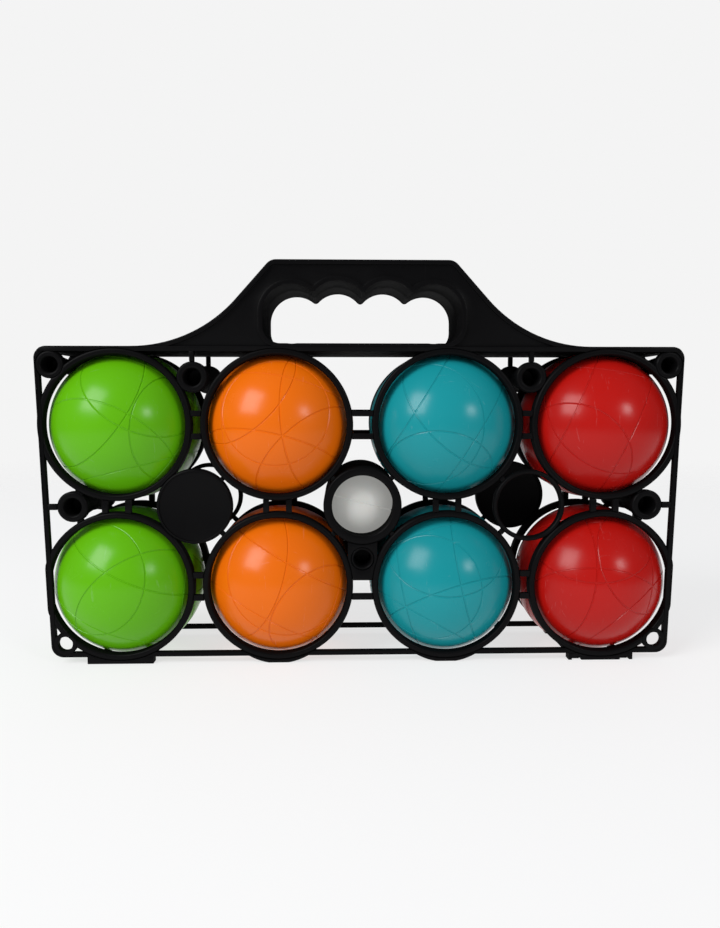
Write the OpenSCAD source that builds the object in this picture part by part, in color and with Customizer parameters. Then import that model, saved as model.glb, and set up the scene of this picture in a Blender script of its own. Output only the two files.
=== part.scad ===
// Carrier of two clip-together halves that holds eight playing balls and a jack.
// X runs across the carrier, Y from front to back, Z up. The origin is on the ground,
// under the middle of the carrier.

/* [Balls] */
// Diameter of a playing ball
ball_d = 74; // [66:0.5:84]
// Wall of a hollow playing ball
ball_wall = 3; // [2:0.25:6]
// Diameter of the jack
jack_d = 32; // [30.5:0.25:32.5]
// Radius of the head of a filler plug
plug_head_r = 6; // [4:0.25:9]
// Radius of the stem of a filler plug
plug_stem_r = 4.2; // [2.5:0.1:6]
// Thickness of the head of a filler plug
plug_head_t = 1; // [0.8:0.1:1.4]
// How far a filler plug is sunk below the ball
plug_sink = 0.6; // [0.5:0.1:1]
// Clearance round a filler plug
plug_clear = 0.05; // [0.02:0.01:0.1]
// How far a plug faces down from straight back, in degrees
plug_tilt = 25; // [0:1:60]

/* [Layout] */
// Gap between the balls of one row, on one side of the middle
ball_gap = 3; // [2:0.25:8]
// Gap between the two middle balls of one row
middle_gap = 8.2; // [6:0.2:16]
// Gap between the upper and lower balls
row_gap = 4.4; // [3:0.2:12]
// Height of the lower ball rings' centres above the lowest point of the rings
foot_lift = 1.5; // [0.8:0.1:6]

/* [Halves] */
// Thickness of the closed carrier, front face to back face
carrier_t = 47; // [44:0.5:56]
// Gap left between the closed halves
meet_gap = 0.3; // [0.2:0.05:0.8]
// Depth of a ball ring
ring_depth = 5.2; // [4:0.1:7]
// Width of a ball ring's wall
ring_wall = 3.1; // [2:0.1:4]
// Chamfer along a ring's front edges
ring_chamfer = 0.7; // [0.2:0.1:0.8]
// Play of a ball in its two rings
ball_play = 1.1; // [0.8:0.1:3]
// How far a ball sits below the centre of its rings
ball_drop = 0.7; // [0.2:0.1:0.7]
// Clearance between a ball and the parts outside its rings
ball_clear = 0.4; // [0.3:0.05:1]

/* [Outer frame] */
// Width of the side rails and the bottom bar
rail_w = 2.3; // [1.6:0.1:4]
// Depth of the side rails and the bottom bar
rail_depth = 3; // [2:0.1:4]
// How far the top corners stand out past the outer rings
top_margin = 0.3; // [0:0.1:6]
// How far the bottom corners stand inside the outer rings' edges
bottom_inset = 3.4; // [0:0.1:4]
// How far an outer ring may stand out past the side rail
ring_bulge = 0.7; // [0.3:0.1:1.5]
// Corner radius of the outer frame
corner_r = 5.8; // [3:0.2:9]
// Height of the bottom bar's lower face
bar_z = 3.5; // [3.1:0.1:4.5]
// Thickness of the top shelf
shelf_t = 2.4; // [1.8:0.1:4]
// How far the top shelf's underside is below the tops of the upper rings
shelf_bite = 1.6; // [0:0.1:2.2]

/* [Handle] */
// Height of the handle above the top shelf
handle_h = 40.4; // [34:0.2:56]
// Half width of the handle's flat top, to its sharp corners
handle_top_x = 43.4; // [36:0.2:60]
// Slope of the handle's sides, in degrees
handle_slope = 48; // [40:1:60]
// Radius of the handle's hollow shoulders
shoulder_r = 67; // [50:1:75]
// Radius of the handle's upper corners
handle_corner_r = 6; // [3:0.5:10]
// Width of the rim round the handle and round its grip opening
handle_wall = 2.2; // [1.6:0.1:4]
// Thickness of the handle's face
panel_t = 2.2; // [1.6:0.1:4]
// How far the handle's face is sunk below its rim
panel_sink = 1.4; // [0.5:0.1:3]
// Half width of the grip opening
grip_x = 47.6; // [40:0.2:54]
// Height of the grip opening's lower edge above the shelf
grip_lift = 1.4; // [1:0.1:6]
// Radius of the four finger hollows
finger_r = 14; // [11:0.2:16]
// Top of the two middle finger hollows above the shelf
finger_top = 30.8; // [26:0.2:34]
// How much lower the two outer finger hollows are
finger_step = 1.6; // [0:0.2:4]
// Spread of the two middle finger hollows from the centre
finger_x = 11.9; // [9:0.1:13]
// Radius of the grip opening's lower corners
grip_corner_r = 8.6; // [4:0.2:12]
// Radius that rounds the points between the finger hollows
finger_point_r = 2; // [1:0.2:3]

/* [Jack holder and roundels] */
// Inner radius of the jack's sleeve
sleeve_r = 17.4; // [16.6:0.1:17.5]
// Wall of the jack's sleeve
sleeve_wall = 1.6; // [1.2:0.1:1.6]
// Radius of the hole in the jack sleeve's lip
sleeve_lip_r = 14.8; // [10:0.1:15.5]
// Thickness of the jack sleeve's lip
sleeve_lip_t = 2; // [1.5:0.1:4]
// Play of the jack above and below its sleeve
jack_play = 0.3; // [0.2:0.1:1]
// Radius of the plain roundel
roundel_r = 18.2; // [14:0.1:18.5]
// Thickness of the plain roundel
roundel_t = 2.4; // [1.6:0.1:4]
// Depth of the roundel's rim
roundel_depth = 4.6; // [3:0.1:8]
// Outer radius of the open ring
open_ring_r = 17.5; // [14:0.1:18.4]
// Wall of the open ring
open_ring_wall = 2.2; // [1.5:0.1:4]
// Depth of the open ring
open_ring_depth = 3.6; // [2.5:0.1:5]
// How far the roundel and the open ring are moved out from between the columns
side_shift = 1.4; // [0:0.1:1.8]

/* [Posts] */
// Radius of a post's flange
flange_r = 7.4; // [6.5:0.1:8.6]
// Depth of a post's flange
flange_t = 4; // [3:0.1:6]
// Radius of the hole in a post's mouth
mouth_r = 4.2; // [3:0.1:5]
// Depth of the hole in a post's mouth
mouth_depth = 15; // [8:0.5:17]
// Radius of the hole in a corner post's mouth
corner_mouth_r = 3.8; // [3:0.1:4.6]
// Radius of a post where the halves meet
post_end_r = 5.2; // [4.4:0.1:5.4]
// Radius of a corner post where the halves meet
corner_end_r = 3.6; // [3.2:0.1:3.7]
// Radius of a corner post's flange
corner_flange_r = 6.6; // [5:0.1:7]
// Radius of a locating peg
peg_r = 2; // [1.5:0.1:2.1]
// Length of a locating peg
peg_l = 5; // [3:0.5:6]
// Clearance round a locating peg
peg_clear = 0.3; // [0.2:0.05:0.4]
// Gap between a top post's flange and the outer ring
top_post_gap = -0.4; // [-1:0.1:1]
// Gap between a side post's flange and its rings
side_post_gap = 0.5; // [0:0.1:2]
// Reach of a corner post past its ring
corner_reach = 4.7; // [4.2:0.1:8]
// Reach of the middle post past its rings
middle_reach = 6.7; // [6.3:0.1:10]
// Outer radius of the middle post
middle_post_r = 5.7; // [5:0.1:5.9]

/* [Braces, eyelets and feet] */
// Width of a short brace between two rings
brace_w = 2.8; // [1.6:0.1:4]
// Depth of a brace
brace_depth = 2.6; // [2:0.1:4]
// Distance of each brace of a pair from the pair's middle
brace_off = 5.5; // [4:0.1:7]
// Width of a tie to the sleeve, the roundels and the top posts
tie_w = 2.2; // [1.4:0.1:4]
// Half width of the web round the middle post
web_x = 7.2; // [6.8:0.1:8]
// Radius of an eyelet's hole
eyelet_r = 3.5; // [2.5:0.1:3.8]
// Wall round an eyelet's hole
eyelet_wall = 2.1; // [1.5:0.1:2.2]
// Reach of an eyelet past its ring
eyelet_reach = 1.8; // [1.5:0.1:4]
// Radius of a foot's curved underside
foot_r = 29; // [24:0.5:33]
// Half width of the flat that a foot stands on
foot_flat_x = 4.8; // [3:0.1:8]
// Width of a hold-down prong
prong_w = 4; // [3:0.1:5]
// Thickness of a hold-down prong
prong_t = 1.3; // [1:0.05:1.3]
// Distance of each prong from the middle of its ball
prong_off = 12; // [11.8:0.1:14]
// How far a prong reaches into the other half's keeper
prong_grip = 3; // [2:0.1:5]
// Clearance round a prong in its keeper
prong_clear = 0.3; // [0.2:0.05:0.5]

/* [Hidden] */

$fn = 96;
carrier_black = "#1c1c1e";
ball_colours = ["#6cb41e", "#eb7010", "#2f96a0", "#b92019"];
jack_white = "#d8d8d2";

// Rings, counted from the front's upper left: 1 to 4 above, 5 to 8 below
ball_r = ball_d / 2;
half_t = carrier_t / 2;
meet_y = meet_gap / 2;
seat_y = half_t - ring_depth;
ring_in = sqrt(pow(ball_r + ball_play, 2) - pow(seat_y, 2));
ring_out = ring_in + ring_wall;
inner_x = (ball_d + middle_gap) / 2;
outer_x = inner_x + ball_d + ball_gap;
low_z = ring_out + foot_lift;
high_z = low_z + ball_d + row_gap;
mid_z = (low_z + high_z) / 2;
column_x = [-outer_x, -inner_x, inner_x, outer_x];
side_x = (inner_x + outer_x) / 2 + side_shift;
shelf_z = high_z + ring_out - shelf_bite;
shelf_top = shelf_z + shelf_t;
half_top = outer_x + ring_out + top_margin;
half_bottom = outer_x + ring_out - bottom_inset;
jack_r = jack_d / 2;
jack_z = mid_z - (sleeve_r - jack_r - jack_play);
eps = 0.01;
past = 2 * half_top;

// Posts: each stands clear of its rings' edges in front and of the balls at the meeting plane
top_away = max(ring_out + flange_r + top_post_gap, ball_r + post_end_r + ball_clear);
side_away = max(ring_out + flange_r + side_post_gap, ball_r + post_end_r + ball_clear + ball_drop);
corner_away = max(ring_out + corner_reach, ball_r + corner_end_r + ball_clear);
middle_away = max(ring_out + middle_reach, ball_r + middle_post_r + ball_clear);

// Posts: x and z of each, on the right-hand side or in the middle
top_post = [side_x, high_z + sqrt(pow(top_away, 2) - pow(outer_x - side_x, 2))];
side_post = [outer_x + sqrt(pow(side_away, 2) - pow((high_z - low_z) / 2, 2)), mid_z];
corner_angle = 44;
corner_post = [
    outer_x + corner_away * cos(corner_angle),
    high_z + corner_away * sin(corner_angle)
];
middle_post = [0, low_z + sqrt(pow(middle_away, 2) - pow(inner_x, 2))];
eyelet_angle = -46.6;
eyelet = [
    outer_x + (ring_out + eyelet_reach) * cos(eyelet_angle),
    low_z + (ring_out + eyelet_reach) * sin(eyelet_angle)
];
eyelet_out = eyelet_r + eyelet_wall;
socket_end = half_t - meet_gap - peg_l - peg_clear;

function ring_x(i) = column_x[(i - 1) % 4];
function ring_z(i) = i < 5 ? high_z : low_z;

// A flat shape in X and Z, given depth back from the front face
module slab(depth) {
    translate([0, depth - half_t, 0]) rotate([90, 0, 0]) linear_extrude(depth) children();
}

// A flat shape in X and Z, from y1 back to y2
module layer(y1, y2) {
    translate([0, y2, 0]) rotate([90, 0, 0]) linear_extrude(y2 - y1) children();
}

// A straight round bar along Y, from y1 back to y2
module round_bar(x, z, r, y1, y2) {
    translate([x, y2, z]) rotate([90, 0, 0]) cylinder(h = y2 - y1, r = r);
}

// A shape made for the front half, turned round to make the back half
module to_back() {
    rotate([0, 0, 180]) children();
}

// ---- outer frame ----

// Centres of the outer frame's right-hand corner arcs, and the direction its side faces
frame_high = [half_top - corner_r, shelf_top - corner_r];
frame_low = [half_bottom - corner_r, bar_z + corner_r];
frame_run = (frame_high - frame_low) / norm(frame_high - frame_low);
frame_face = [frame_run[1], -frame_run[0]];

// Outline of the outer frame, drawn in by inset
module frame_outline(inset) {
    r = corner_r - inset;
    half = [
        frame_low + [0, -r], frame_low + r * frame_face,
        frame_high + r * frame_face, frame_high + [0, r]
    ];
    polygon(concat(half, [for (k = [3 : -1 : 0]) [-half[k][0], half[k][1]]]));
    for (side = [-1, 1]) {
        translate([side * frame_high[0], frame_high[1]]) circle(r);
        translate([side * frame_low[0], frame_low[1]]) circle(r);
    }
}

module frame_strip() {
    difference() {
        frame_outline(0);
        frame_outline(rail_w);
    }
}

// The part of the strip that makes the two side rails
module rail_strip() {
    intersection() {
        frame_strip();
        translate([-past, frame_low[1]]) square([2 * past, shelf_z - frame_low[1]]);
    }
}

module shelf_solid() {
    layer(-half_t, -meet_y) {
        intersection() {
            frame_outline(0);
            translate([-past, shelf_z]) square([2 * past, shelf_t]);
        }
    }
}

module half_top_shelf() {
    color(carrier_black) difference() {
        shelf_solid();
        for (i = [1 : 4]) {
            ball_room(i);
            round_bar(ring_x(i), ring_z(i), ring_out, -past, -seat_y);
        }
    }
}

module half_rail(side) {
    color(carrier_black) difference() {
        slab(rail_depth) {
            intersection() {
                rail_strip();
                translate([side > 0 ? 0 : -past, 0]) square([past, shelf_z]);
            }
        }
        round_bar(side * corner_post[0], corner_post[1], corner_flange_r, -past, past);
        round_bar(side * eyelet[0], eyelet[1], eyelet_out, -past, past);
        for (i = [1, 4, 5, 8]) {
            ball_room(i);
        }
    }
}

module half_bottom_bar() {
    color(carrier_black) difference() {
        slab(rail_depth) {
            intersection() {
                frame_strip();
                translate([-past, 0]) square([2 * past, frame_low[1]]);
            }
        }
        for (i = [5 : 8]) {
            round_bar(ring_x(i), low_z, ring_out, -past, past);
        }
        for (side = [-1, 1]) {
            round_bar(side * eyelet[0], eyelet[1], eyelet_out, -past, past);
        }
    }
}

// ---- ball rings ----

module ring_blank(x, z) {
    translate([x, -half_t, z]) rotate([-90, 0, 0]) rotate_extrude() polygon([
        [ring_in, ring_chamfer], [ring_in + ring_chamfer, 0],
        [ring_out - ring_chamfer, 0], [ring_out, ring_chamfer],
        [ring_out, ring_depth], [ring_in, ring_depth]
    ]);
}

// The outer rings meet the rails, the posts, the eyelets, the roundel and the open ring
module half_ring(i) {
    side = ring_x(i) > 0 ? 1 : -1;
    outer = i == 1 || i == 4 || i == 5 || i == 8;
    color(carrier_black) difference() {
        ring_blank(ring_x(i), ring_z(i));
        if (outer) {
            round_bar(side * side_x, mid_z, side > 0 ? open_ring_r : roundel_r, -past, past);
            slab(rail_depth) rail_strip();
            round_bar(side * corner_post[0], corner_post[1], corner_flange_r, -past, past);
            round_bar(side * eyelet[0], eyelet[1], eyelet_out, -past, rail_depth - half_t);
            outside_frame(side);
        }
    }
}

// What lies too far out past the outer frame's side
module outside_frame(side) {
    low = frame_low + (corner_r + ring_bulge) * frame_face;
    high = frame_high + (corner_r + ring_bulge) * frame_face;
    layer(-half_t - 1, -meet_y) {
        polygon([
            [side * low[0], low[1]], [side * high[0], high[1]],
            [side * past, high[1]], [side * past, low[1]]
        ]);
    }
}

// ---- handle ----

// Centres of the arcs at the right-hand end of the handle: its upper corner and its shoulder
corner_run = handle_corner_r * tan(handle_slope / 2);
handle_high = [handle_top_x - corner_run, shelf_top + handle_h - handle_corner_r];
slope_dir = [sin(handle_slope), cos(handle_slope)];
shoulder_z = shelf_top + shoulder_r;
slope_reach = (handle_high + handle_corner_r * slope_dir) * slope_dir;
shoulder_x = (slope_reach + shoulder_r - shoulder_z * slope_dir[1]) / slope_dir[0];
handle_low = [shoulder_x, shoulder_z];

// Outline of the handle above the shelf, drawn in by inset
module handle_outline(inset) {
    r = handle_corner_r - inset;
    half = [
        [shoulder_x, shelf_top], handle_low - (shoulder_r + inset) * slope_dir,
        handle_high + r * slope_dir, handle_high + [0, r]
    ];
    difference() {
        union() {
            polygon(concat(half, [for (k = [3 : -1 : 0]) [-half[k][0], half[k][1]]]));
            for (side = [-1, 1]) {
                translate([side * handle_high[0], handle_high[1]]) circle(r);
            }
        }
        for (side = [-1, 1]) {
            translate([side * handle_low[0], handle_low[1]]) circle(shoulder_r + inset, $fn = 240);
        }
    }
}

// Centres of the finger hollows on the right-hand side
finger_inner = [finger_x, shelf_top + finger_top - finger_r];
finger_outer = [grip_x - finger_r, finger_inner[1] - finger_step];
grip_low = shelf_top + grip_lift;

// Centre of the arc that rounds the point between two finger hollows
function point_centre(a, b) =
    (a + b) / 2 + sqrt(pow(finger_r + finger_point_r, 2) - pow(norm(b - a) / 2, 2))
        * [a[1] - b[1], b[0] - a[0]] / norm(b - a);

module finger_point(a, b) {
    difference() {
        polygon([a, b, point_centre(a, b)]);
        translate(point_centre(a, b)) circle(finger_point_r);
    }
}

// The grip opening, with four finger hollows in its upper edge, made larger by grow
module grip_outline(grow) {
    r = finger_r + grow;
    low_r = grip_corner_r + grow;
    for (side = [-1, 1]) {
        translate([side * finger_inner[0], finger_inner[1]]) circle(r);
        translate([side * finger_outer[0], finger_outer[1]]) circle(r);
        translate([side * (grip_x - grip_corner_r), grip_low + grip_corner_r]) circle(low_r);
    }
    translate([grip_corner_r - grip_x, grip_low - grow]) {
        square([2 * (grip_x - grip_corner_r), finger_outer[1] - grip_low + grow]);
    }
    translate([-grip_x - grow, grip_low + grip_corner_r]) {
        square([2 * (grip_x + grow), finger_outer[1] - grip_low - grip_corner_r]);
    }
    if (grow == 0) {
        finger_point([-finger_inner[0], finger_inner[1]], finger_inner);
        finger_point(finger_inner, finger_outer);
        mirror([1, 0]) finger_point(finger_inner, finger_outer);
    }
}

module above_shelf() {
    intersection() {
        children();
        translate([-past, shelf_top]) square([2 * past, handle_h]);
    }
}

module half_handle() {
    color(carrier_black) difference() {
        union() {
            layer(-half_t, -meet_y) above_shelf() difference() {
                handle_outline(0);
                handle_outline(handle_wall);
            }
            layer(-half_t, -meet_y) above_shelf() difference() {
                grip_outline(handle_wall);
                grip_outline(0);
            }
            layer(panel_sink - half_t, panel_sink + panel_t - half_t) above_shelf() difference() {
                handle_outline(0);
                grip_outline(0);
            }
        }
        for (i = [1 : 4]) {
            ball_room(i);
        }
    }
}

// ---- jack sleeve, roundel and open ring ----

module half_jack_sleeve() {
    color(carrier_black) translate([0, -half_t, mid_z]) rotate([-90, 0, 0]) {
        rotate_extrude() polygon([
            [sleeve_lip_r + ring_chamfer, 0], [sleeve_r + sleeve_wall - ring_chamfer, 0],
            [sleeve_r + sleeve_wall, ring_chamfer], [sleeve_r + sleeve_wall, half_t - meet_y],
            [sleeve_r, half_t - meet_y], [sleeve_r, sleeve_lip_t],
            [sleeve_lip_r, sleeve_lip_t], [sleeve_lip_r, ring_chamfer]
        ]);
    }
}

module half_roundel() {
    color(carrier_black) translate([-side_x, -half_t, mid_z]) rotate([-90, 0, 0]) {
        rotate_extrude() polygon([
            [0, ring_chamfer], [roundel_r - 2 * ring_chamfer, ring_chamfer],
            [roundel_r - 2 * ring_chamfer, 0], [roundel_r - ring_chamfer, 0],
            [roundel_r, ring_chamfer], [roundel_r, roundel_depth],
            [roundel_r - roundel_t / 2, roundel_depth], [roundel_r - roundel_t / 2, roundel_t],
            [0, roundel_t]
        ]);
    }
}

module half_open_ring() {
    color(carrier_black) translate([side_x, -half_t, mid_z]) rotate([-90, 0, 0]) {
        rotate_extrude() polygon([
            [open_ring_r - open_ring_wall, ring_chamfer],
            [open_ring_r - open_ring_wall + ring_chamfer, 0],
            [open_ring_r - ring_chamfer, 0], [open_ring_r, ring_chamfer],
            [open_ring_r, open_ring_depth], [open_ring_r - open_ring_wall, open_ring_depth]
        ]);
    }
}

// ---- posts ----

// A hollow post from the front face to the meeting plane
module post(flange, hole, end_r) {
    long = half_t - meet_y;
    rotate([-90, 0, 0]) rotate_extrude() polygon([
        [0, mouth_depth], [hole, mouth_depth], [hole, ring_chamfer], [hole + ring_chamfer, 0],
        [flange - ring_chamfer, 0], [flange, ring_chamfer], [flange, flange_t],
        [(flange + end_r) / 2, 2 * flange_t], [end_r, long], [0, long]
    ]);
}

module at_ring_posts(side) {
    translate([side * top_post[0], -half_t, top_post[1]]) children();
    translate([side * side_post[0], -half_t, side_post[1]]) children();
}

module at_corner_post(side) {
    translate([side * corner_post[0], -half_t, corner_post[1]]) children();
}

module locating_pin(r, start, end) {
    translate([0, start, 0]) rotate([-90, 0, 0]) cylinder(h = end - start, r = r);
}

// The posts between the rings, which stop where they meet a ring
module ring_posts() {
    difference() {
        union() {
            for (side = [-1, 1]) {
                at_ring_posts(side) post(flange_r, mouth_r, post_end_r);
            }
            translate([0, -half_t, middle_post[1]]) post(middle_post_r, mouth_r, middle_post_r);
        }
        for (i = [1 : 8]) {
            round_bar(ring_x(i), ring_z(i), ring_out, -past, -seat_y);
        }
    }
}

// The left-hand posts end in pegs, the right-hand ones in sockets for the other half's pegs
module half_posts() {
    color(carrier_black) difference() {
        union() {
            ring_posts();
            for (side = [-1, 1]) {
                at_corner_post(side) post(corner_flange_r, corner_mouth_r, corner_end_r);
            }
            at_ring_posts(-1) locating_pin(peg_r, half_t - peg_l, half_t + peg_l);
            at_corner_post(-1) locating_pin(peg_r, half_t - peg_l, half_t + peg_l);
        }
        at_ring_posts(1) locating_pin(peg_r + peg_clear, socket_end, half_t);
        at_corner_post(1) locating_pin(peg_r + peg_clear, socket_end, half_t);
        shelf_solid();
        round_bar(0, mid_z, sleeve_r + sleeve_wall, -past, past);
    }
}

// ---- braces, corner webs and eyelets ----

// A pair of bars across a gap, in X and Z; along is the half length of the gap they bridge
module brace_pair(x, z, along, upright) {
    for (off = [-brace_off, brace_off]) {
        if (upright) {
            translate([x + off - brace_w / 2, z - along]) square([brace_w, 2 * along]);
        } else {
            translate([x - along, z + off - brace_w / 2]) square([2 * along, brace_w]);
        }
    }
}

// A bar from one point towards another
module tie(from, to, w) {
    run = to - from;
    translate(from) rotate(atan2(run[1], run[0])) translate([0, -w / 2]) square([norm(run), w]);
}

module brace_bars() {
    for (z = [low_z, high_z]) {
        brace_pair(0, z, inner_x - ring_out + ring_wall, false);
        for (side = [-1, 1]) {
            brace_pair(side * (inner_x + outer_x) / 2, z, (outer_x - inner_x) / 2 - ring_in, false);
        }
    }
    for (x = column_x) {
        brace_pair(x, mid_z, (high_z - low_z) / 2 - ring_in, true);
    }
    for (side = [-1, 1]) {
        for (z = [low_z, high_z]) {
            tie([0, mid_z], [side * inner_x, z], tie_w);
            tie([side * side_x, mid_z], [side * inner_x, z], tie_w);
            tie([side * side_x, mid_z], [side * outer_x, z], tie_w);
        }
        tie([side * top_post[0], top_post[1]], [side * top_post[0], shelf_z], tie_w);
        tie([side * side_post[0], mid_z], [side * (half_top + half_bottom) / 2, mid_z], brace_w);
        for (z = [low_z, high_z]) {
            tie([side * side_post[0], mid_z], [side * outer_x, z], brace_w);
        }
    }
    translate([-web_x, low_z + brace_off / 2]) square([2 * web_x, mid_z - low_z - brace_off / 2]);
}

module half_braces() {
    color(carrier_black) difference() {
        slab(brace_depth) intersection() {
            brace_bars();
            frame_outline(rail_w);
        }
        for (i = [1 : 8]) {
            round_bar(ring_x(i), ring_z(i), ring_out, -past, past);
        }
        round_bar(0, mid_z, sleeve_r + sleeve_wall, -past, past);
        round_bar(0, middle_post[1], middle_post_r, -past, past);
        round_bar(-side_x, mid_z, roundel_r, -past, past);
        round_bar(side_x, mid_z, open_ring_r, -past, past);
        for (side = [-1, 1]) {
            round_bar(side * top_post[0], top_post[1], flange_r, -past, past);
            round_bar(side * side_post[0], side_post[1], flange_r, -past, past);
        }
        shelf_solid();
    }
}

module half_eyelets() {
    color(carrier_black) difference() {
        for (side = [-1, 1]) {
            round_bar(side * eyelet[0], eyelet[1], eyelet_out, -half_t, rail_depth - half_t);
        }
        for (side = [-1, 1]) {
            round_bar(side * eyelet[0], eyelet[1], eyelet_r, -past, past);
            round_bar(side * outer_x, low_z, ring_in, -past, past);
        }
    }
}

// ---- feet, hold-down prongs and keepers ----

module foot_outline(x) {
    intersection() {
        translate([x, sqrt(pow(foot_r, 2) - pow(foot_flat_x, 2))]) circle(foot_r);
        translate([x - foot_r, 0]) square([2 * foot_r, bar_z]);
    }
}

module keeper_outline(x) {
    wide = prong_off + prong_w;
    translate([x - wide, 0]) square([2 * wide, bar_z]);
}

module foot_pads() {
    difference() {
        slab(ring_depth) {
            for (x = [-inner_x, inner_x]) {
                foot_outline(x);
            }
            for (x = [-outer_x, outer_x]) {
                keeper_outline(x);
            }
        }
        for (i = [5 : 8]) {
            round_bar(ring_x(i), low_z, ring_out, -past, past);
        }
        for (off = [-prong_off, prong_off]) {
            translate([outer_x + off - prong_w / 2 - prong_clear, -half_t - 1, -1]) {
                cube([prong_w + 2 * prong_clear, ring_depth + 2, prong_t + prong_clear + 1]);
            }
        }
    }
}

module half_feet() {
    color(carrier_black) difference() {
        union() {
            foot_pads();
            for (off = [-prong_off, prong_off]) {
                translate([-outer_x + off - prong_w / 2, -seat_y - eps, 0]) {
                    cube([prong_w, 2 * seat_y + prong_grip, prong_t]);
                }
            }
        }
        for (i = [5, 8]) {
            ball_room(i);
        }
    }
}

// ---- balls and jack ----

module at_ball(i) {
    translate([ring_x(i), 0, ring_z(i) - ball_drop]) children();
}

// The space kept clear for a ball
module ball_room(i) {
    at_ball(i) sphere(ball_r + ball_clear);
}

// A filler plug, or the hole it is pressed into when clear is above zero
module plug_blank(clear) {
    top = ball_r - plug_sink;
    reach = clear > 0 ? ball_d : top;
    rotate([-90 - plug_tilt, 0, 0]) {
        translate([0, 0, top - plug_head_t]) {
            cylinder(h = reach - top + plug_head_t, r = plug_head_r + clear);
        }
        translate([0, 0, ball_r - ball_wall - clear]) {
            cylinder(h = ball_wall - plug_sink, r = plug_stem_r + clear);
        }
    }
}

module ball_shell(i) {
    color(ball_colours[(i - 1) % 4]) at_ball(i) difference() {
        sphere(ball_r);
        sphere(ball_r - ball_wall);
        plug_blank(plug_clear);
    }
}

module ball_plug(i) {
    color(ball_colours[(i - 1) % 4]) at_ball(i) plug_blank(0);
}

module jack() {
    color(jack_white) translate([0, 0, jack_z]) sphere(jack_r);
}

half_handle();  // front_handle
half_top_shelf();  // front_top_shelf
half_rail(-1);  // front_left_rail
half_rail(1);  // front_right_rail
half_bottom_bar();  // front_bottom_bar
half_ring(1);  // front_ring_1
half_ring(2);  // front_ring_2
half_ring(3);  // front_ring_3
half_ring(4);  // front_ring_4
half_ring(5);  // front_ring_5
half_ring(6);  // front_ring_6
half_ring(7);  // front_ring_7
half_ring(8);  // front_ring_8
half_roundel();  // front_roundel
half_open_ring();  // front_open_ring
half_jack_sleeve();  // front_jack_sleeve
half_posts();  // front_posts
half_braces();  // front_braces
half_feet();  // front_feet
half_eyelets();  // front_eyelets
to_back() half_handle();  // back_handle
to_back() half_top_shelf();  // back_top_shelf
to_back() half_rail(1);  // back_left_rail
to_back() half_rail(-1);  // back_right_rail
to_back() half_bottom_bar();  // back_bottom_bar
to_back() half_ring(4);  // back_ring_1
to_back() half_ring(3);  // back_ring_2
to_back() half_ring(2);  // back_ring_3
to_back() half_ring(1);  // back_ring_4
to_back() half_ring(8);  // back_ring_5
to_back() half_ring(7);  // back_ring_6
to_back() half_ring(6);  // back_ring_7
to_back() half_ring(5);  // back_ring_8
to_back() half_roundel();  // back_roundel
to_back() half_open_ring();  // back_open_ring
to_back() half_jack_sleeve();  // back_jack_sleeve
to_back() half_posts();  // back_posts
to_back() half_braces();  // back_braces
to_back() half_feet();  // back_feet
to_back() half_eyelets();  // back_eyelets
ball_shell(1);  // ball_1_shell
ball_shell(2);  // ball_2_shell
ball_shell(3);  // ball_3_shell
ball_shell(4);  // ball_4_shell
ball_shell(5);  // ball_5_shell
ball_shell(6);  // ball_6_shell
ball_shell(7);  // ball_7_shell
ball_shell(8);  // ball_8_shell
ball_plug(1);  // ball_1_plug
ball_plug(2);  // ball_2_plug
ball_plug(3);  // ball_3_plug
ball_plug(4);  // ball_4_plug
ball_plug(5);  // ball_5_plug
ball_plug(6);  // ball_6_plug
ball_plug(7);  // ball_7_plug
ball_plug(8);  // ball_8_plug
jack();
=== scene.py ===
import math

import bpy
from mathutils import Euler, Matrix, Vector


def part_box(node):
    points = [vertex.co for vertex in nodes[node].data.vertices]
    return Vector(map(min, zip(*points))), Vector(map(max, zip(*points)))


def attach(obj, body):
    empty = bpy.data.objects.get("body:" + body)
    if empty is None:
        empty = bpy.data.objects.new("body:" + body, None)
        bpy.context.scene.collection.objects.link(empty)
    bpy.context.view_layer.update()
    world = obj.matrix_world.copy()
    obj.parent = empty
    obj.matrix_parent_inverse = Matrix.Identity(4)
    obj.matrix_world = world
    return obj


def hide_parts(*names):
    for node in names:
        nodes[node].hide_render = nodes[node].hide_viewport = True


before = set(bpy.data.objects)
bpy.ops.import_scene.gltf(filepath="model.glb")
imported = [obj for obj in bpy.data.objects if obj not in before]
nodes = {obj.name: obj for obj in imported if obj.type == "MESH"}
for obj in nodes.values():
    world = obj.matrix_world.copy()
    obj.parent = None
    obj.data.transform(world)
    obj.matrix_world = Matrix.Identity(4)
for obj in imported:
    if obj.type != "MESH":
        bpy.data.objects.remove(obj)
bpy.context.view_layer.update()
bpy.ops.object.select_all(action="DESELECT")


def only(obj):
    bpy.ops.object.select_all(action="DESELECT")
    obj.select_set(True)
    bpy.context.view_layer.objects.active = obj


def boxOf(node):
    low, high = (Vector(corner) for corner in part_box(node))
    return low, high, (low + high) / 2


def applyAll(obj):
    only(obj)
    for modifier in list(obj.modifiers):
        bpy.ops.object.modifier_apply(modifier=modifier.name)


def settle(obj):  # puts the piece's place into its mesh
    only(obj)
    bpy.ops.object.transform_apply(location=True, rotation=True, scale=True)


def copyMesh(obj, name):
    twin = obj.copy()
    twin.data = obj.data.copy()
    twin.name = name
    twin.data.name = name
    bpy.context.collection.objects.link(twin)
    return twin


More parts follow.
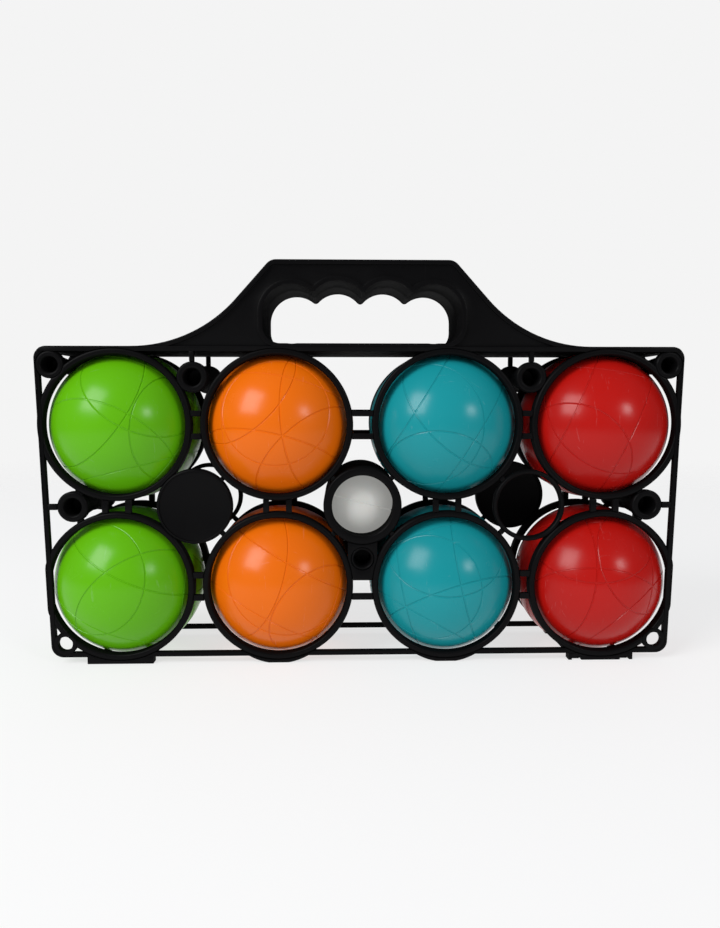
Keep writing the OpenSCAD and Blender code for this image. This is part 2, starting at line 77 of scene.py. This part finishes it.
def newGroup(name, inputs, outputs):
    group = bpy.data.node_groups.new(name, "ShaderNodeTree")
    for label, kind, start in inputs:
        socket = group.interface.new_socket(label, in_out="INPUT", socket_type=kind)
        if start is not None:
            socket.default_value = start
    for label, kind in outputs:
        group.interface.new_socket(label, in_out="OUTPUT", socket_type=kind)
    return group, group.nodes.new("NodeGroupInput"), group.nodes.new("NodeGroupOutput")


def mathNode(tree, operation, first, second, clamp=False):
    node = tree.nodes.new("ShaderNodeMath")
    node.operation = operation
    node.use_clamp = clamp
    for socket, value in zip(node.inputs, (first, second)):
        if isinstance(value, (int, float)):
            socket.default_value = value
        else:
            tree.links.new(value, socket)
    return node.outputs[0]


def noiseNode(tree, vector, scale, detail, roughness=0.5):
    node = tree.nodes.new("ShaderNodeTexNoise")
    node.inputs["Detail"].default_value = detail
    node.inputs["Roughness"].default_value = roughness
    tree.links.new(vector, node.inputs["Vector"])
    if isinstance(scale, (int, float)):
        node.inputs["Scale"].default_value = scale
    else:
        tree.links.new(scale, node.inputs["Scale"])
    return node.outputs["Fac"]


def mixColour(tree, blend, factor, first, second):
    node = tree.nodes.new("ShaderNodeMix")
    node.data_type = "RGBA"
    node.blend_type = blend
    for socket, value in ((node.inputs[0], factor), (node.inputs[6], first), (node.inputs[7], second)):
        if isinstance(value, (int, float)):
            socket.default_value = value
        elif isinstance(value, tuple):
            socket.default_value = value
        else:
            tree.links.new(value, socket)
    return node.outputs[2]


skinPattern = {
    "driftDetail": 3.0, "driftSwing": 2.0, "patchShare": 3.1, "patchDetail": 4.0, "patchRoughness": 0.6,
    "patchLow": 0.3, "patchHigh": 0.7, "grainDetail": 2.0, "rippleShare": 0.06, "rippleHeight": 0.7,
}


def makeMouldedSkin():  # uneven sheen, slow colour drift and fine grain of moulded plastic
    group, given, out = newGroup(
        "mouldedSkin",
        [
            ("Vector", "NodeSocketVector", None), ("Colour", "NodeSocketColor", (0.5, 0.5, 0.5, 1)),
            ("Drift", "NodeSocketFloat", 0.1), ("Drift Scale", "NodeSocketFloat", 20.0),
            ("Rough Low", "NodeSocketFloat", 0.25), ("Rough High", "NodeSocketFloat", 0.4),
            ("Grain Scale", "NodeSocketFloat", 2500.0),
        ],
        [("Colour", "NodeSocketColor"), ("Roughness", "NodeSocketFloat"), ("Height", "NodeSocketFloat")],
    )
    vector = given.outputs["Vector"]
    drift = noiseNode(group, vector, given.outputs["Drift Scale"], skinPattern["driftDetail"])
    swing = mathNode(group, "MULTIPLY", mathNode(group, "SUBTRACT", drift, 0.5), given.outputs["Drift"])
    bright = group.nodes.new("ShaderNodeHueSaturation")
    group.links.new(given.outputs["Colour"], bright.inputs["Color"])
    value = mathNode(group, "ADD", mathNode(group, "MULTIPLY", swing, skinPattern["driftSwing"]), 1.0)
    group.links.new(value, bright.inputs["Value"])
    group.links.new(bright.outputs[0], out.inputs["Colour"])
    patchScale = mathNode(group, "MULTIPLY", given.outputs["Drift Scale"], skinPattern["patchShare"])
    patches = noiseNode(group, vector, patchScale, skinPattern["patchDetail"], skinPattern["patchRoughness"])
    span = group.nodes.new("ShaderNodeMapRange")
    span.inputs["From Min"].default_value = skinPattern["patchLow"]
    span.inputs["From Max"].default_value = skinPattern["patchHigh"]
    group.links.new(patches, span.inputs["Value"])
    group.links.new(given.outputs["Rough Low"], span.inputs["To Min"])
    group.links.new(given.outputs["Rough High"], span.inputs["To Max"])
    group.links.new(span.outputs[0], out.inputs["Roughness"])
    grain = noiseNode(group, vector, given.outputs["Grain Scale"], skinPattern["grainDetail"])
    rippleScale = mathNode(group, "MULTIPLY", given.outputs["Grain Scale"], skinPattern["rippleShare"])
    ripple = noiseNode(group, vector, rippleScale, skinPattern["grainDetail"])
    height = mathNode(group, "ADD", grain, mathNode(group, "MULTIPLY", ripple, skinPattern["rippleHeight"]))
    group.links.new(height, out.inputs["Height"])
    return group


scuffPattern = {
    "detail": 3.0, "roughness": 0.7, "threshold": 0.69,
    "runs": (((0.4, 0.9, 0.2), (1, 14, 1)), ((1.3, 0.1, 2.0), (12, 1, 1))),  # turn and stretch of each
}


def makeScuffs():  # thin stray scratches, as a mask
    group, given, out = newGroup(
        "strayScuffs",
        [
            ("Vector", "NodeSocketVector", None), ("Scale", "NodeSocketFloat", 60.0),
            ("Amount", "NodeSocketFloat", 0.5),
        ],
        [("Mask", "NodeSocketFloat")],
    )
    masks = []
    for turn, stretch in scuffPattern["runs"]:
        mapping = group.nodes.new("ShaderNodeMapping")
        mapping.inputs["Rotation"].default_value = turn
        mapping.inputs["Scale"].default_value = stretch
        group.links.new(given.outputs["Vector"], mapping.inputs["Vector"])
        lines = noiseNode(
            group, mapping.outputs[0], given.outputs["Scale"],
            scuffPattern["detail"], scuffPattern["roughness"],
        )
        masks.append(mathNode(group, "GREATER_THAN", lines, scuffPattern["threshold"]))
    both = mathNode(group, "MAXIMUM", masks[0], masks[1])
    group.links.new(mathNode(group, "MULTIPLY", both, given.outputs["Amount"], True), out.inputs["Mask"])
    return group


mouldedSkin = makeMouldedSkin()
strayScuffs = makeScuffs()
subsurfaceScale = 0.004
scuffRoughness = 0.3
edgePower = 2.0


def plastic(name, look):
    material = bpy.data.materials.new(name)
    material.use_nodes = True
    tree = material.node_tree
    shader = tree.nodes["Principled BSDF"]
    shader.inputs["IOR"].default_value = look.get("ior", 1.5)
    shader.inputs["Specular IOR Level"].default_value = look.get("specular", 0.5)
    shader.inputs["Subsurface Weight"].default_value = look.get("subsurface", 0.0)
    shader.inputs["Subsurface Scale"].default_value = subsurfaceScale
    # emission is painted light: a part that is no lamp glows in its own colour; only the jack gets any
    shader.inputs["Emission Color"].default_value = (*look["colour"], 1)
    shader.inputs["Emission Strength"].default_value = look.get("paintedGlow", 0.0)
    place = tree.nodes.new("ShaderNodeTexCoord")
    skin = tree.nodes.new("ShaderNodeGroup")
    skin.node_tree = mouldedSkin
    tree.links.new(place.outputs["Object"], skin.inputs["Vector"])
    skin.inputs["Colour"].default_value = (*look["colour"], 1)
    for label, key in (
        ("Drift", "drift"), ("Drift Scale", "driftScale"), ("Rough Low", "roughLow"),
        ("Rough High", "roughHigh"), ("Grain Scale", "grainScale"),
    ):
        skin.inputs[label].default_value = look[key]
    scuffs = tree.nodes.new("ShaderNodeGroup")
    scuffs.node_tree = strayScuffs
    tree.links.new(place.outputs["Object"], scuffs.inputs["Vector"])
    scuffs.inputs["Scale"].default_value = look["scuffScale"]
    scuffs.inputs["Amount"].default_value = look["scuffs"]
    tree.links.new(
        mixColour(tree, "MIX", scuffs.outputs[0], skin.outputs["Colour"], (*look["scuffColour"], 1)),
        shader.inputs["Base Color"],
    )
    scuffed = mathNode(tree, "MULTIPLY", scuffs.outputs[0], scuffRoughness)
    rough = mathNode(tree, "ADD", skin.outputs["Roughness"], scuffed)
    if "edgeRough" in look:  # faces seen nearly edge on lose their gloss
        facing = tree.nodes.new("ShaderNodeLayerWeight")
        slant = mathNode(tree, "POWER", facing.outputs["Facing"], edgePower)
        dulled = mathNode(tree, "MULTIPLY", slant, look["edgeRough"])
        rough = mathNode(tree, "ADD", rough, dulled, True)
    tree.links.new(rough, shader.inputs["Roughness"])
    bump = tree.nodes.new("ShaderNodeBump")
    bump.inputs["Strength"].default_value = look["bump"]
    bump.inputs["Distance"].default_value = look["bumpDepth"]
    tree.links.new(skin.outputs["Height"], bump.inputs["Height"])
    tree.links.new(bump.outputs[0], shader.inputs["Normal"])
    return material


carrierLook = {
    "colour": (0.0032, 0.0031, 0.0034), "drift": 0.25, "driftScale": 18.0,
    "roughLow": 0.30, "roughHigh": 0.42, "grainScale": 2600.0,
    "scuffScale": 70.0, "scuffs": 0.02, "scuffColour": (0.06, 0.06, 0.06),
    "bump": 0.25, "bumpDepth": 0.00006, "specular": 0.5, "ior": 1.14, "edgeRough": 0.6,
}
ballLook = {
    "drift": 0.05, "driftScale": 26.0, "roughLow": 0.21, "roughHigh": 0.28,
    "grainScale": 3000.0, "specular": 0.22,
    "scuffScale": 80.0, "scuffs": 0.04, "scuffColour": (0.7, 0.7, 0.7), "bump": 0.12, "bumpDepth": 0.00004,
}
ballColours = {  # by column, from the left
    "green": (0.098, 0.375, 0.003), "orange": (0.68, 0.125, 0.002),
    "teal": (0.007, 0.235, 0.265), "red": (0.385, 0.006, 0.004),
}
# the jack's glow value is painted light: it glows in its own colour so it looks evenly lit where its sleeve
# shades it
jackLook = {
    "colour": (0.33, 0.33, 0.315), "drift": 0.04, "driftScale": 40.0,
    "roughLow": 0.35, "roughHigh": 0.45, "grainScale": 3000.0,
    "scuffScale": 90.0, "scuffs": 0.08, "scuffColour": (0.45, 0.44, 0.4),
    "bump": 0.15, "bumpDepth": 0.00005, "subsurface": 0.3, "paintedGlow": 0.75,
}
carrierPlastic = plastic("carrierBlack", carrierLook)
ballPlastics = {
    name: plastic("ball_" + name, {**ballLook, "colour": shade}) for name, shade in ballColours.items()
}
jackPlastic = plastic("jackWhite", jackLook)
print("materials done")


carrierEdges = {"merge": 0.000012, "angle": 34, "round": 0.00028, "segments": 2, "smooth": 30}


def roundedCopy(node, look, material, body):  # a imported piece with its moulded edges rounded
    piece = copyMesh(nodes[node], node + "_moulded")
    piece.parent = None
    piece.matrix_world = Matrix.Identity(4)
    only(piece)
    if piece.data.has_custom_normals:
        bpy.ops.mesh.customdata_custom_splitnormals_clear()
    bpy.ops.object.mode_set(mode="EDIT")
    bpy.ops.mesh.select_all(action="SELECT")
    bpy.ops.mesh.remove_doubles(threshold=look["merge"])
    bpy.ops.object.mode_set(mode="OBJECT")
    bevel = piece.modifiers.new("edges", "BEVEL")
    bevel.width = look["round"]
    bevel.segments = look["segments"]
    bevel.limit_method = "ANGLE"
    bevel.angle_limit = math.radians(look["angle"])
    bevel.use_clamp_overlap = False
    bevel.harden_normals = False
    applyAll(piece)
    bpy.ops.object.shade_smooth_by_angle(angle=math.radians(look["smooth"]))
    piece.data.materials.clear()
    piece.data.materials.append(material)
    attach(piece, body)
    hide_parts(node)
    return piece


carrierNodes = [name for name in nodes if name.startswith(("front_", "back_"))]
for name in carrierNodes:
    half = "front_half" if name.startswith("front_") else "back_half"
    roundedCopy(name, carrierEdges, carrierPlastic, half)
print("carrier done")


# one grooved ball is made, then copied, turned and given its plug recess
ballSize = {
    "segments": 128, "rings": 64, "grooveWide": 0.00048, "grooveSink": 0.00014, "grooveSteps": 144,
    "plugTilt": 25, "recessRadius": 0.00606, "recessDeep": 0.00162, "recessSteps": 48,
    "cutterReach": 3,  # in depths of the recess
}
tubeSteps = 8  # corners round the section of a cutting ring
ballSmooth = 28  # degrees under which a ball's faces shade as one
plugEdges = {"merge": 0.000012, "angle": 34, "round": 0.00015, "segments": 2, "smooth": 30}
grooveCircles = [  # direction that each groove's circle faces, and its plane's distance in ball radii
    ((0.0, -1.0, 0.25), 0.73), ((0.0, -1.0, 0.25), -0.70),
    ((0.95, -0.3, 0.1), 0.38), ((0.95, -0.3, 0.1), -0.44),
    ((0.2, 0.35, 0.92), 0.34), ((0.2, 0.35, 0.92), -0.42),
    ((-0.6, -0.5, 0.62), 0.62), ((0.62, -0.45, -0.64), 0.58),
]
ballTurns = [  # how each ball happens to lie, in degrees
    (18, 34, 62), (0, 0, 0), (64, 20, 12), (-24, 40, 118),
    (28, -38, 150), (40, 12, 48), (12, 66, -20), (-10, 18, 30),
]


def grooveCutter(radius, normal, offset):
    aim = Vector(normal).normalized()
    distance = offset * radius
    lineRadius = math.sqrt(radius ** 2 - distance ** 2)
    stretch = (radius + ballSize["grooveSink"]) / radius
    bpy.ops.mesh.primitive_torus_add(
        major_segments=ballSize["grooveSteps"], minor_segments=tubeSteps,
        major_radius=lineRadius * stretch, minor_radius=ballSize["grooveWide"],
        location=aim * distance * stretch, rotation=aim.to_track_quat("Z", "Y").to_euler(),
    )
    cutter = bpy.context.object
    settle(cutter)
    return cutter


def cutAway(piece, cutter):
    cut = piece.modifiers.new("cut", "BOOLEAN")
    cut.operation = "DIFFERENCE"
    cut.solver = "EXACT"
    cut.object = cutter
    applyAll(piece)
    bpy.data.objects.remove(cutter, do_unlink=True)


def recessCutter(middle, radius):
    tilt = math.radians(ballSize["plugTilt"])
    aim = Vector((0, math.cos(tilt), -math.sin(tilt)))
    reach = ballSize["recessDeep"] * ballSize["cutterReach"]
    bpy.ops.mesh.primitive_cylinder_add(
        vertices=ballSize["recessSteps"], radius=ballSize["recessRadius"], depth=reach,
        location=middle + aim * (radius - ballSize["recessDeep"] + reach / 2),
        rotation=aim.to_track_quat("Z", "Y").to_euler(),
    )
    cutter = bpy.context.object
    settle(cutter)
    return cutter


def makeGroovedBall(radius):
    bpy.ops.mesh.primitive_uv_sphere_add(
        segments=ballSize["segments"], ring_count=ballSize["rings"], radius=radius,
    )
    ball = bpy.context.object
    ball.name = "groovedBall"
    for normal, offset in grooveCircles:
        cutAway(ball, grooveCutter(radius, normal, offset))
    return ball


ballLow, ballHigh, _ = boxOf("ball_1_shell")
ballRadius = (ballHigh.z - ballLow.z) / 2
master = makeGroovedBall(ballRadius)
colourNames = list(ballColours)
for index, turn in enumerate(ballTurns):
    number = index + 1
    colour = colourNames[index % len(colourNames)]
    middle = boxOf(f"ball_{number}_shell")[2]
    ball = copyMesh(master, f"ball_{number}_skin")
    ball.rotation_euler = Euler([math.radians(angle) for angle in turn])
    settle(ball)
    ball.location = (middle.x, 0, middle.z)
    settle(ball)
    cutAway(ball, recessCutter(Vector((middle.x, 0, middle.z)), ballRadius))
    bpy.ops.object.shade_smooth_by_angle(angle=math.radians(ballSmooth))
    ball.data.materials.clear()
    ball.data.materials.append(ballPlastics[colour])
    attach(ball, f"ball_{number}")
    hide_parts(f"ball_{number}_shell")
    roundedCopy(f"ball_{number}_plug", plugEdges, ballPlastics[colour], f"ball_{number}")
bpy.data.objects.remove(master, do_unlink=True)
print("balls done")


jackSize = {
    "segments": 96, "rings": 48, "seamWide": 0.00035, "seamSteps": 120, "seamFaces": (0.25, 0.1, 0.96),
}


def makeJack():  # a plain small ball with a fine moulding seam
    low, high, middle = boxOf("jack")
    radius = (high.z - low.z) / 2
    bpy.ops.mesh.primitive_uv_sphere_add(
        segments=jackSize["segments"], ring_count=jackSize["rings"], radius=radius,
    )
    jack = bpy.context.object
    jack.name = "jack_ball_skin"
    bpy.ops.mesh.primitive_torus_add(
        major_segments=jackSize["seamSteps"], minor_segments=tubeSteps,
        major_radius=radius, minor_radius=jackSize["seamWide"],
        rotation=Vector(jackSize["seamFaces"]).to_track_quat("Z", "Y").to_euler(),
    )
    seam = bpy.context.object
    settle(seam)
    cutAway(jack, seam)
    jack.location = middle
    settle(jack)
    bpy.ops.object.shade_smooth_by_angle(angle=math.radians(ballSmooth))
    jack.data.materials.clear()
    jack.data.materials.append(jackPlastic)
    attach(jack, "jack_ball")
    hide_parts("jack")


makeJack()
print("jack done")


studio = {
    "floorReach": 1.6, "floorSolid": 0.25, "floorColour": (0.28, 0.28, 0.28), "floorLift": 0.66,
    "floorSteps": 96, "floorRoughness": 0.9, "floorSpecular": 0.1, "floorEnd": 0.97,
    "middle": (0, 0, 0.1), "backdrop": (0.905, 0.905, 0.905), "softFill": (0.52, 0.53, 0.55),
    "dimFront": (0.06, 0.06, 0.065),
    "keyAim": (-0.61, -0.55, 0.54), "keyAway": 1.5, "keySize": (0.72, 0.80), "keyPower": 17,
    "fillAim": (0.61, -0.69, 0.36), "fillAway": 1.6, "fillSize": (0.30, 0.30), "fillPower": 4.5,
}


def paleFloor():  # a pale disc that fades out into the backdrop
    bpy.ops.mesh.primitive_circle_add(
        vertices=studio["floorSteps"], radius=studio["floorReach"], fill_type="NGON", location=(0, 0, 0),
    )
    floor = bpy.context.object
    floor.name = "floor"
    paint = bpy.data.materials.new("floorPale")
    paint.use_nodes = True
    tree = paint.node_tree
    shader = tree.nodes["Principled BSDF"]
    shader.inputs["Base Color"].default_value = (*studio["floorColour"], 1)
    shader.inputs["Roughness"].default_value = studio["floorRoughness"]
    shader.inputs["Specular IOR Level"].default_value = studio["floorSpecular"]
    shader.inputs["Emission Color"].default_value = (1, 1, 1, 1)
    shader.inputs["Emission Strength"].default_value = studio["floorLift"]
    place = tree.nodes.new("ShaderNodeTexCoord")
    reach = tree.nodes.new("ShaderNodeVectorMath")
    reach.operation = "LENGTH"
    tree.links.new(place.outputs["Object"], reach.inputs[0])
    fade = tree.nodes.new("ShaderNodeMapRange")
    fade.interpolation_type = "SMOOTHSTEP"
    fade.inputs["From Min"].default_value = studio["floorSolid"]
    fade.inputs["From Max"].default_value = studio["floorReach"] * studio["floorEnd"]
    fade.inputs["To Min"].default_value = 1
    fade.inputs["To Max"].default_value = 0
    tree.links.new(reach.outputs["Value"], fade.inputs["Value"])
    tree.links.new(fade.outputs[0], shader.inputs["Alpha"])
    floor.data.materials.append(paint)


def studioWorld():  # white backdrop, soft light all round, and little for the gloss to mirror
    world = bpy.data.worlds.new("studioWorld")
    world.use_nodes = True
    tree = world.node_tree
    backdrop = tree.nodes["Background"]
    backdrop.inputs["Color"].default_value = (*studio["backdrop"], 1)
    path = tree.nodes.new("ShaderNodeLightPath")
    soft = tree.nodes.new("ShaderNodeBackground")
    soft.inputs["Color"].default_value = (*studio["softFill"], 1)
    dim = tree.nodes.new("ShaderNodeBackground")
    dim.inputs["Color"].default_value = (*studio["dimFront"], 1)
    glossy = tree.nodes.new("ShaderNodeMixShader")
    tree.links.new(path.outputs["Is Glossy Ray"], glossy.inputs[0])
    tree.links.new(soft.outputs[0], glossy.inputs[1])
    tree.links.new(dim.outputs[0], glossy.inputs[2])
    seen = tree.nodes.new("ShaderNodeMixShader")
    tree.links.new(path.outputs["Is Camera Ray"], seen.inputs[0])
    tree.links.new(glossy.outputs[0], seen.inputs[1])
    tree.links.new(backdrop.outputs[0], seen.inputs[2])
    tree.links.new(seen.outputs[0], tree.nodes["World Output"].inputs["Surface"])
    bpy.context.scene.world = world


paleFloor()
studioWorld()


def softLight(name, aim, away, size, power):
    direction = Vector(aim).normalized()
    middle = Vector(studio["middle"])
    bpy.ops.object.light_add(type="AREA", location=middle + direction * away)
    lamp = bpy.context.object
    lamp.name = name
    lamp.rotation_euler = direction.to_track_quat("Z", "Y").to_euler()
    lamp.data.shape = "RECTANGLE"
    lamp.data.size, lamp.data.size_y = size
    lamp.data.energy = power


softLight("keyLight", studio["keyAim"], studio["keyAway"], studio["keySize"], studio["keyPower"])
softLight("fillLight", studio["fillAim"], studio["fillAway"], studio["fillSize"], studio["fillPower"])

view = {
    "place": (-0.0105, -0.3778, 0.1273), "pitch": -4.781, "yaw": -1.492,
    "lens": 36.99, "sensor": 36, "nearest": 0.01,
}
bpy.ops.object.camera_add(
    location=view["place"], rotation=(math.radians(90 + view["pitch"]), 0, math.radians(view["yaw"]))
)
camera = bpy.context.object
camera.data.sensor_fit = "HORIZONTAL"
camera.data.sensor_width = view["sensor"]
camera.data.lens = view["lens"]
camera.data.clip_start = view["nearest"]
bpy.context.scene.camera = camera
bpy.context.scene.view_settings.view_transform = "Standard"
print("stage done")
